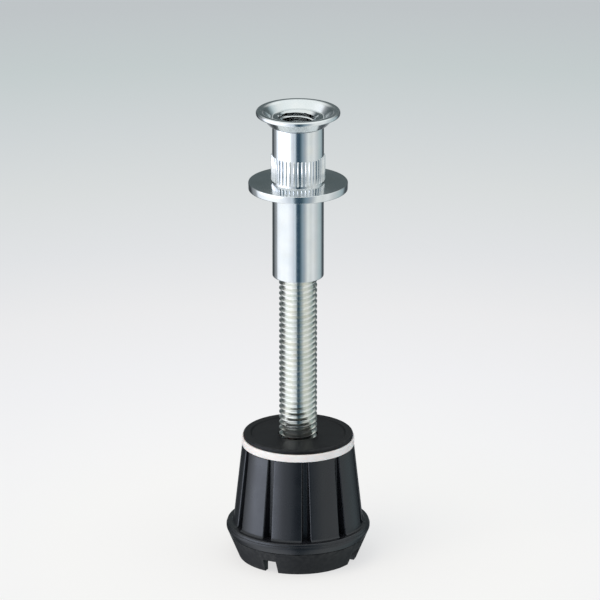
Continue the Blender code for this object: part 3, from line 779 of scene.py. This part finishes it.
def insert_knurl():
    """Straight knurl above the load flange: rounded ribs that run out at both ends."""
    half = math.pi * SLEEVE / KNURL_RIBS * KNURL_SHARE
    sink = SLEEVE - KNURL_SINK
    crown = SLEEVE + KNURL_HEIGHT
    start = LOAD_FLANGE_TOP + KNURL_GAP
    end = start + KNURL_LENGTH
    levels = (
        (start, KNURL_RUN_OUT),
        (start + KNURL_HEIGHT, 1.0),
        (end - KNURL_HEIGHT, 1.0),
        (end, KNURL_RUN_OUT),
    )
    bm = bmesh.new()
    sections = []
    for z, grow in levels:
        height = sink + (crown - sink) * grow
        width = half * (0.6 + 0.4 * grow)
        middle = (sink + height) / 2
        side = [(width, sink), (width / 2, middle), (width / 5, height)]
        outline = [(-x, y) for x, y in side] + side[::-1]
        sections.append([bm.verts.new((x, -y, z)) for x, y in outline])
    bridge(bm, sections)
    bm.faces.new(sections[0])
    bm.faces.new(sections[-1])
    rib = to_object("knurl_rib", bm)
    knurl = run_tree(
        rib, ROUND_THE_AXIS, "insert_sleeve_knurl", Count=KNURL_RIBS, Material=SLEEVE_ZINC)
    piece(knurl, SLEEVE_ZINC, "insert", "zinc_plated_steel", smooth=50)


def insert_cup():
    """Pressed cup: soft bends between floor, wall and rim."""
    low = CUP_LOW.z
    top = CUP_HIGH.z
    hole = NECK + CLEARANCE
    floor = hole + CUP_FLOOR
    rim = CUP_HIGH.x
    bend = rim - CUP_RIM
    under = top - CUP_SHEET
    corners = [
        (hole, low, 0.2 * MM),
        (floor, low, 1.2 * MM),
        (bend + CUP_SHEET / 2, under, 0.5 * MM),
        (rim, under, 0.4 * MM),
        (rim, top, 0.5 * MM),
        (bend, top, 1.4 * MM),
        (floor - CUP_THINNING, low + CUP_SHEET, 0.8 * MM),
        (hole, low + CUP_SHEET, 0.3 * MM),
    ]
    cup = turned("insert_cup_pressed", corners, steps=8)
    piece(cup, CUP_ZINC, "insert", "bright_steel", "insert_cup")


# ---------------------------------------- turning parts

def spindle_rod():
    """Rolled M10 thread with a chamfered hex socket in its end."""
    top = ROD_HIGH.z
    bottom = HEAD_TOP - ROD_ROOT
    sheet = thread_sheet("spindle_thread_sheet", SPINDLE_ZINC, ROD, THREAD_DEPTH, bottom, top,
                         thread_start(bottom), THREAD_CHAMFER)

    # end face and hex socket, ring by ring from the chamfered end inwards
    angles = even_angles(THREAD_SIDES)
    circle = [(a, ROD - THREAD_CHAMFER) for a in angles]
    mouth = [(a, hexagonal(KEY_FLATS / 2 + KEY_CHAMFER, a)) for a in angles]
    socket = [(a, hexagonal(KEY_FLATS / 2, a)) for a in angles]
    levels = (
        (circle, top),
        (mouth, top),
        (socket, top - KEY_CHAMFER),
        (socket, top - KEY_DEPTH),
        ([(a, 0.0) for a in angles], top - KEY_DEPTH - KEY_POINT),
    )
    bm = taken_up(sheet)
    bridge(bm, [add_ring(bm, spots, z) for spots, z in levels])
    bm.faces.new(add_ring(bm, circle, bottom))
    rod = to_object("spindle_rolled_thread", bm)
    piece(rod, SPINDLE_ZINC, "spindle", "zinc_plated_steel", "spindle")


def spindle_head():
    """Hex head with its corners cut by a cone above and below."""
    flat = HEAD_FLATS / 2
    angles = even_angles(HEAD_SIDES)
    circle = [(a, flat) for a in angles]
    corners = [(a, hexagonal(flat, a + math.pi / 6)) for a in angles]
    drops = [(reach - flat) * math.tan(HEAD_CHAMFER) for _, reach in corners]
    bm = bmesh.new()
    rings = [
        add_ring(bm, circle, HEAD_LOW),
        add_ring(bm, corners, HEAD_LOW),
        add_ring(bm, corners, HEAD_TOP),
        add_ring(bm, circle, HEAD_TOP),
    ]
    for lower, upper, drop in zip(rings[1], rings[2], drops):
        lower.co.z += drop
        upper.co.z -= drop
    bridge(bm, rings)
    bm.faces.new(rings[0])
    bm.faces.new(rings[-1])
    head = to_object("spindle_hex_head", bm)
    piece(head, SPINDLE_ZINC, "spindle", "zinc_plated_steel", smooth=20)


def spindle_pin():
    """Pin below the head, with the groove that the clip snaps into."""
    low = ROD_LOW.z
    root = HEAD_LOW + PIN_ROOT
    groove_low = CLIP_LOW.z - CLEARANCE
    groove_top = CLIP_HIGH.z + CLEARANCE
    corners = [
        (0.0, low, 0),
        (PIN, low, 0.3 * MM),
        (PIN, groove_low, 0.1 * MM),
        (CLIP_GROOVE, groove_low, 0.05 * MM),
        (CLIP_GROOVE, groove_top, 0.05 * MM),
        (PIN, groove_top, 0.1 * MM),
        (PIN, root, 0),
        (0.0, root, 0),
    ]
    pin = turned("spindle_pin", corners, sides=PIN_SIDES, closed=False)
    piece(pin, SPINDLE_ZINC, "spindle", "zinc_plated_steel")


def flute_section(radius, root_radius):
    """Half a flute's outline as (tangential offset, radius), from the groove's middle outwards."""
    root = FLUTE_ROOT_WIDTH / 2
    depth = radius - root_radius
    mouth = root + depth * math.tan(FLUTE_DRAFT)
    largest = depth * FILLET_SHARE
    far = radius * math.sin(math.pi / FLUTES) / 2
    corners = [
        (0.0, root_radius, 0),
        (root, root_radius, min(FLUTE_ROOT_FILLET, largest)),
        (mouth, radius, min(FLUTE_EDGE_FILLET, largest)),
        (far, radius, 0),
    ]
    return rounded(corners, 6, closed=False)[:-1]


def flute_contour(radius, root_radius):
    """(angle, radius) points of one flute, from the middle of a groove to the middle of the next."""
    pitch = math.tau / FLUTES
    side = [(math.asin(x / r), r) for x, r in flute_section(radius, root_radius)]
    edge, outer = side[-1]
    wall = [(edge + (pitch / 2 - edge) * (i + 1) / WALL_STEPS, outer) for i in range(WALL_STEPS)]
    half_flute = side + wall
    return half_flute + [(pitch - angle, r) for angle, r in reversed(half_flute[:-1])]


def grip_body():
    """Fluted grip: one flute from groove to groove, repeated round the axis and welded."""
    foot = GRIP_LOW.z
    height = GRIP_HIGH.z - foot
    band = min(GRIP_HIGH.x, GRIP_HIGH.y)
    flare = band - BAND_STEP
    base = flare - LEDGE_WIDTH
    top = base - (height - LEDGE_LEVEL) * math.tan(GRIP_TAPER)
    top_root = top - FLUTE_TOP_DEPTH
    bore = top_root - GRIP_WALL
    rim = band - (BAND_TAPER + SEAM) * math.tan(FOOT_CONE)
    cone_foot = base + (LEDGE_LEVEL - FLANGE_TOP) * math.tan(GRIP_TAPER)

    band_edge = rounded([
        (bore, -SEAM, 0),
        (rim, -SEAM, MOULD_ROUNDING),
        (band, BAND_TAPER, 2 * MOULD_ROUNDING),
        (band, BAND_HEIGHT, MOULD_ROUNDING),
        (flare, BAND_HEIGHT, 0.1 * MM),
        (flare, FLANGE_TOP, 0.35 * MM),
        (cone_foot, FLANGE_TOP, 0),
    ], 4, closed=False)[:-1]
    fluted = rounded([
        (flare, FLANGE_TOP, 0),
        (cone_foot, FLANGE_TOP, FLANGE_FILLET),
        (top, height, 0.18 * MM),
        (bore, height, 0),
    ], 8, closed=False)[1:-1]

    seat = height - GRIP_SEAT_DEPTH
    rod_hole = ROD + CLEARANCE
    inside = [
        (bore, height),
        (bore, seat),
        (rod_hole, seat),
        (rod_hole, GRIP_WEB_LOW),
        (bore, GRIP_WEB_LOW),
    ]

    bm = bmesh.new()
    rings = []
    edge_angles = [angle for angle, _ in flute_contour(flare, top_root)]
    for radius, z in band_edge:
        rings.append(add_ring(bm, [(angle, radius) for angle in edge_angles], foot + z))
    for radius, z in fluted:
        root = top_root + (height - z) * math.tan(FLUTE_LEAN)
        contour = flute_contour(radius, min(root, radius - FLUTE_LEAST_DEPTH))
        rings.append(add_ring(bm, contour, foot + z))
    top_angles = [angle for angle, _ in flute_contour(top, top_root)]
    for radius, z in inside:
        rings.append(add_ring(bm, [(angle, radius) for angle in top_angles], foot + z))
    rings.append(rings[0])
    bridge(bm, rings, wrap=False)
    flute = to_object("grip_flute", bm, outwards=False)
    grip = run_tree(
        flute, ROUND_THE_AXIS, "grip_fluted_body", Count=FLUTES, First_Angle=FLUTE_ANGLE,
        Weld=FLUTE_WELD, Material=GRIP_PLASTIC)
    grip = to_object("grip_fluted", taken_up(grip))
    piece(grip, GRIP_PLASTIC, "spindle", "black_plastic", "grip_body")


def guide_ring():
    """White ring between the grip and the cap, with the skirt that centres it."""
    low = GRIP_HIGH.z + SEAM
    top = RING_HIGH.z + CLEARANCE - SEAM
    rim = RING_HIGH.x
    skirt_bore = SKIRT - SKIRT_WALL
    corners = [
        (ROD + CLEARANCE, low, 0),
        (skirt_bore, low, 0),
        (skirt_bore, RING_LOW.z, 0.2 * MM),
        (SKIRT, RING_LOW.z, 0.2 * MM),
        (SKIRT, low, 0),
        (rim, low, 0.12 * MM),
        (rim, top, 0.12 * MM),
        (ROD + CLEARANCE, top, 0),
    ]
    ring = turned("guide_ring_rim", corners, steps=4)
    piece(ring, RING_NYLON, "spindle", "white_nylon", "guide_ring")


def top_cap():
    """Cap disc with a raised rounded rim; its pegs go down into the grip."""
    low = RING_HIGH.z + CLEARANCE
    top = CAP_HIGH.z
    edge = CAP_HIGH.x
    dish = top - CAP_DISH
    hole = ROD + CAP_HOLE_PLAY
    corners = [
        (hole, low, 0),
        (edge, low, 0.1 * MM),
        (edge, top, 0.9 * MM),
        (edge - CAP_RIM, top, 0.3 * MM),
        (edge - CAP_RIM - CAP_DISH, dish, 0.4 * MM),
        (hole, dish, 0.3 * MM),
    ]
    disc = turned("top_cap_disc", corners, steps=8)
    piece(disc, CAP_PLASTIC, "spindle", "cap_plastic", "top_cap")

    tip = CAP_LOW.z
    root = low + PEG_ROOT
    corners = [(0.0, tip, 0), (PEG / 2, tip, 0), (PEG, tip + PEG, 0), (PEG, root, 0), (0.0, root, 0)]
    peg = turned("cap_peg", corners, sides=PEG_SIDES, closed=False)
    peg.data.transform(Matrix.Translation(on_circle(PEG_CIRCLE, 0.0)))
    pegs = run_tree(
        peg, ROUND_THE_AXIS, "top_cap_pegs", Count=PEGS, First_Angle=FLUTE_ANGLE,
        Material=CAP_PLASTIC)
    piece(pegs, CAP_PLASTIC, "spindle", "cap_plastic")


def retaining_clip():
    """E-clip stamped from spring steel, its edges slightly rolled over."""
    relief = CLIP_BORE + CLIP_RELIEF
    first = CLIP_MOUTH
    last = math.tau - CLIP_MOUTH
    back = (math.pi - CLIP_LUG / 2, math.pi + CLIP_LUG / 2)
    # (radius, start angle, end angle, steps)
    stretches = [
        (CLIP_HIGH.x, first, last, 60),
        (CLIP_BORE, last, last - CLIP_LUG, 8),
        (relief, last - CLIP_LUG, back[1], 14),
        (CLIP_BORE, back[1], back[0], 8),
        (relief, back[0], first + CLIP_LUG, 14),
        (CLIP_BORE, first + CLIP_LUG, first, 8),
    ]
    outline = []
    for radius, start, end, steps in stretches:
        outline += [on_circle(radius, start + (end - start) * i / steps).xy for i in range(steps + 1)]
    bm = bmesh.new()
    add_prism(bm, outline, CLIP_LOW.z, CLIP_HIGH.z)
    clip = to_object("retaining_clip_blank", bm)
    modifier = clip.modifiers.new("rolled edges", "BEVEL")
    modifier.width = CLIP_ROLL
    modifier.segments = 2
    modifier.limit_method = "ANGLE"
    modifier.angle_limit = math.radians(50)
    clip = baked(clip, "retaining_clip_stamped")
    piece(clip, CLIP_STEEL, "spindle", "plain_steel", "retaining_clip")


# ---------------------------------------- standing parts

def glide():
    """Sole with its raised ring; recesses and notches are cut four times round the axis."""
    top = GLIDE_HIGH.z
    rim = GRIP_LOW.z - 2 * SEAM
    cone = math.tan(FOOT_CONE)
    edge = GRIP_HIGH.x - (BAND_TAPER + 2 * SEAM) * cone
    floor = edge - rim * cone
    inside = floor - FLOOR_RING
    ring_bore = GLIDE_RING - GLIDE_RING_WALL
    seat = WASHER_LOW.z - CLEARANCE
    pin_hole = PIN + CLEARANCE
    recess = CLIP_HIGH.x + CLIP_ROOM
    boss = recess + BOSS_WALL
    roof = CLIP_HIGH.z + CLEARANCE
    corners = [
        (pin_hole, roof, 0.1 * MM),
        (recess, roof, 0.2 * MM),
        (recess, BOSS_LIFT, 0.15 * MM),
        (boss, BOSS_LIFT, 0.3 * MM),
        (inside, 0.0, 0.2 * MM),
        (floor, 0.0, 0.2 * MM),
        (edge, rim, 0.25 * MM),
        (GLIDE_RING, rim, 0.1 * MM),
        (GLIDE_RING, top, 0.4 * MM),
        (ring_bore, top, 0.2 * MM),
        (ring_bore, seat, 0.1 * MM),
        (pin_hole, seat, 0.2 * MM),
    ]
    sole = turned("sole_turned", corners, sides=SOLE_SIDES)

    recess_outline = sector(boss, inside, math.pi / NOTCHES - RIB_ANGLE, 24)
    side = NOTCH_WIDTH / 2
    near = -inside + OVERCUT
    far = -edge - OVERCUT
    notch_outline = [(-side, near), (-side, far), (side, far), (side, near)]
    cuts = (
        ("recess_cutter", recess_outline, RECESS_DEPTH, "sole_recessed"),
        ("notch_cutter", notch_outline, NOTCH_HEIGHT, "glide_sole"),
    )
    for cutter_name, outline, depth, name in cuts:
        bm = bmesh.new()
        add_prism(bm, outline, -OVERCUT, depth)
        cutter = to_object(cutter_name, bm)
        sole = run_tree(
            sole, CUT_ROUND_THE_AXIS, name, Cutter=cutter, Count=NOTCHES, First_Angle=NOTCH_ANGLE,
            Material=SOLE_PLASTIC)
        bpy.data.objects.remove(cutter, do_unlink=True)
    piece(sole, SOLE_PLASTIC, "glide", "sole_plastic", "glide", smooth=30)


def thrust_washer():
    """Stamped washer with rolled edges under the hex head."""
    outer = WASHER_HIGH.x
    inner = PIN + CLEARANCE
    corners = [
        (inner, WASHER_LOW.z, 0.15 * MM),
        (outer, WASHER_LOW.z, 0.2 * MM),
        (outer, WASHER_HIGH.z, 0.2 * MM),
        (inner, WASHER_HIGH.z, 0.15 * MM),
    ]
    washer = turned("thrust_washer_stamped", corners, steps=4, sides=SOLE_SIDES)
    piece(washer, WASHER_STEEL, "glide", "plain_steel", "thrust_washer")


# ---------------------------------------- studio

BACKDROP = (0.515, 0.546, 0.571)
REAR = (0.10, 0.125, 0.13)
SOFTBOX = (3.4, 3.6, 4.1)
CEILING = (0.95, 0.99, 0.98)
LAMP_COLOUR = (1.0, 0.88, 0.68)
LAMP_SOFTNESS = math.radians(40)
LAMP_FROM = Vector((-0.55, -0.5, 1.0))
FLOOR_RADIUS = 6.0              # metres
FLOOR_DROP = 0.02 * MM
FLOOR_GLOW = 0.7                # share of the floor's colour that no shadow dims for the camera
CAMERA_ELEVATION = math.radians(19.3)
CAMERA_DISTANCE = 1.712
CAMERA_AIM = Vector((0.0005, 0.0, 0.0711))
CAMERA_LENS = 392.1             # mm


def studio_light():
    """Pale room with dark gaps in front and behind, a softbox at the left and a pale ceiling."""
    world = bpy.data.worlds.new("studio")
    bpy.context.scene.world = world
    world.use_nodes = True
    tree = world.node_tree
    tree.nodes.clear()
    where = place(tree, "ShaderNodeTexCoord").outputs["Generated"]
    axes = place(tree, "ShaderNodeSeparateXYZ", {0: where}).outputs
    azimuth = calc(tree, "ARCTAN2", axes[0], calc(tree, "MULTIPLY", axes[1], -1.0))
    share = calc(tree, "MULTIPLY_ADD", azimuth, 1 / math.tau, 0.5)
    # degrees from the front towards the right
    walls = [
        (-180, (0.38, 0.40, 0.42)),
        (-168, (0.36, 0.38, 0.40)),
        (-157, (0.05, 0.06, 0.06)),
        (-140, (0.06, 0.07, 0.08)),
        (-128, (0.26, 0.28, 0.30)),
        (-114, (0.36, 0.38, 0.40)),
        (-105, (1.05, 1.10, 1.18)),
        (-85, (1.18, 1.22, 1.26)),
        (-48, (1.16, 1.20, 1.24)),
        (-28, (0.90, 0.95, 1.02)),
        (-20, (0.72, 0.77, 0.84)),
        (-13, (0.72, 0.82, 0.90)),
        (-6, (0.06, 0.11, 0.15)),
        (3, (0.035, 0.07, 0.11)),
        (9, (0.05, 0.10, 0.13)),
        (19, (0.25, 0.34, 0.40)),
        (31, (0.42, 0.47, 0.51)),
        (46, (0.86, 0.90, 0.88)),
        (60, (0.76, 0.79, 0.78)),
        (73, (0.84, 0.87, 0.87)),
        (91, (0.63, 0.67, 0.68)),
        (108, (0.50, 0.59, 0.60)),
        (124, (0.38, 0.47, 0.50)),
        (138, (0.08, 0.10, 0.11)),
        (157, (0.06, 0.07, 0.08)),
        (168, (0.36, 0.38, 0.40)),
        (180, (0.38, 0.40, 0.42)),
    ]
    surround = colour_ramp(tree, share, [(degrees / 360 + 0.5, colour) for degrees, colour in walls])
    # behind the backdrop's upper edge the room is dim, up to the pale ceiling
    rear = rescale(tree, axes[1], 0.35, 0.75)
    high = rescale(tree, axes[2], 0.02, 0.2)
    surround = blend_colour(tree, calc(tree, "MULTIPLY", rear, high), surround, REAR)
    # (axis, where the softbox ends, where it is fully lit)
    softbox = rescale(tree, axes[0], -0.5, -0.8)
    for axis, dark, lit in ((2, -0.27, -0.12), (2, 0.12, 0.0), (1, 0.2, 0.0)):
        softbox = calc(tree, "MULTIPLY", softbox, rescale(tree, axes[axis], dark, lit))
    surround = blend_colour(tree, softbox, surround, SOFTBOX)
    surround = blend_colour(tree, rescale(tree, axes[2], 0.42, 0.75), surround, CEILING)
    seen = place(tree, "ShaderNodeLightPath").outputs["Is Camera Ray"]
    surround = blend_colour(tree, seen, surround, BACKDROP)
    background = place(tree, "ShaderNodeBackground", {0: surround, 1: 1.0})
    out = place(tree, "ShaderNodeOutputWorld")
    tree.links.new(background.outputs[0], out.inputs[0])

    data = bpy.data.lights.new("soft_key", "SUN")
    data.energy = 1.0
    data.color = LAMP_COLOUR
    data.angle = LAMP_SOFTNESS
    lamp = add_object("soft_key", data)
    lamp.visible_glossy = False
    lamp.rotation_euler = LAMP_FROM.to_track_quat("Z", "Y").to_euler()


def studio_floor():
    """Pale floor with a painted falloff of light: it darkens slowly away from the object; glossy surfaces
    look past it.
    """
    bm = bmesh.new()
    bmesh.ops.create_circle(bm, cap_ends=True, segments=96, radius=FLOOR_RADIUS)
    floor = to_object("studio_floor", bm)
    material, tree, shader, where = new_material("studio_paper", Roughness=0.9, Specular_IOR_Level=0.1)
    away = place(tree, "ShaderNodeVectorMath", {0: where}, operation="LENGTH").outputs["Value"]
    # painted falloff of light, lightest at the object; metres from the object's axis
    tone = colour_ramp(tree, away, [
        (0.0, (0.908, 0.904, 0.908)),
        (0.065, (0.910, 0.908, 0.912)),
        (0.097, (0.892, 0.892, 0.910)),
        (0.147, (0.854, 0.855, 0.884)),
        (0.198, (0.817, 0.816, 0.838)),
        (0.253, (0.742, 0.754, 0.782)),
        (0.311, (0.685, 0.708, 0.722)),
        (0.372, (0.617, 0.651, 0.672)),
        (0.437, (0.546, 0.597, 0.610)),
        (0.505, BACKDROP),
    ])
    tree.links.new(tone, shader.inputs["Base Color"])
    glow = place(tree, "ShaderNodeEmission", {0: tone})
    seen = place(tree, "ShaderNodeLightPath").outputs["Is Camera Ray"]
    share = calc(tree, "MULTIPLY", seen, FLOOR_GLOW)
    mixed = place(tree, "ShaderNodeMixShader", {0: share, 1: shader.outputs[0], 2: glow.outputs[0]})
    tree.links.new(mixed.outputs[0], tree.nodes["Material Output"].inputs[0])
    floor.data.materials.append(material)
    floor.visible_glossy = False
    floor.location.z = -FLOOR_DROP


def camera():
    """Long lens, a little above the object."""
    data = bpy.data.cameras.new("camera")
    data.sensor_width = 36
    data.lens = CAMERA_LENS
    data.clip_start = 0.05
    data.clip_end = 50
    obj = add_object("camera", data)
    back = Vector((0.0, -math.cos(CAMERA_ELEVATION), math.sin(CAMERA_ELEVATION)))
    obj.location = CAMERA_AIM + back * CAMERA_DISTANCE
    obj.rotation_euler = back.to_track_quat("Z", "Y").to_euler()
    bpy.context.scene.camera = obj


insert_sleeve()
insert_knurl()
insert_cup()
spindle_rod()
spindle_head()
spindle_pin()
retaining_clip()
grip_body()
guide_ring()
top_cap()
glide()
thrust_washer()
studio_light()
studio_floor()
camera()
bpy.context.scene.view_settings.view_transform = "Standard"
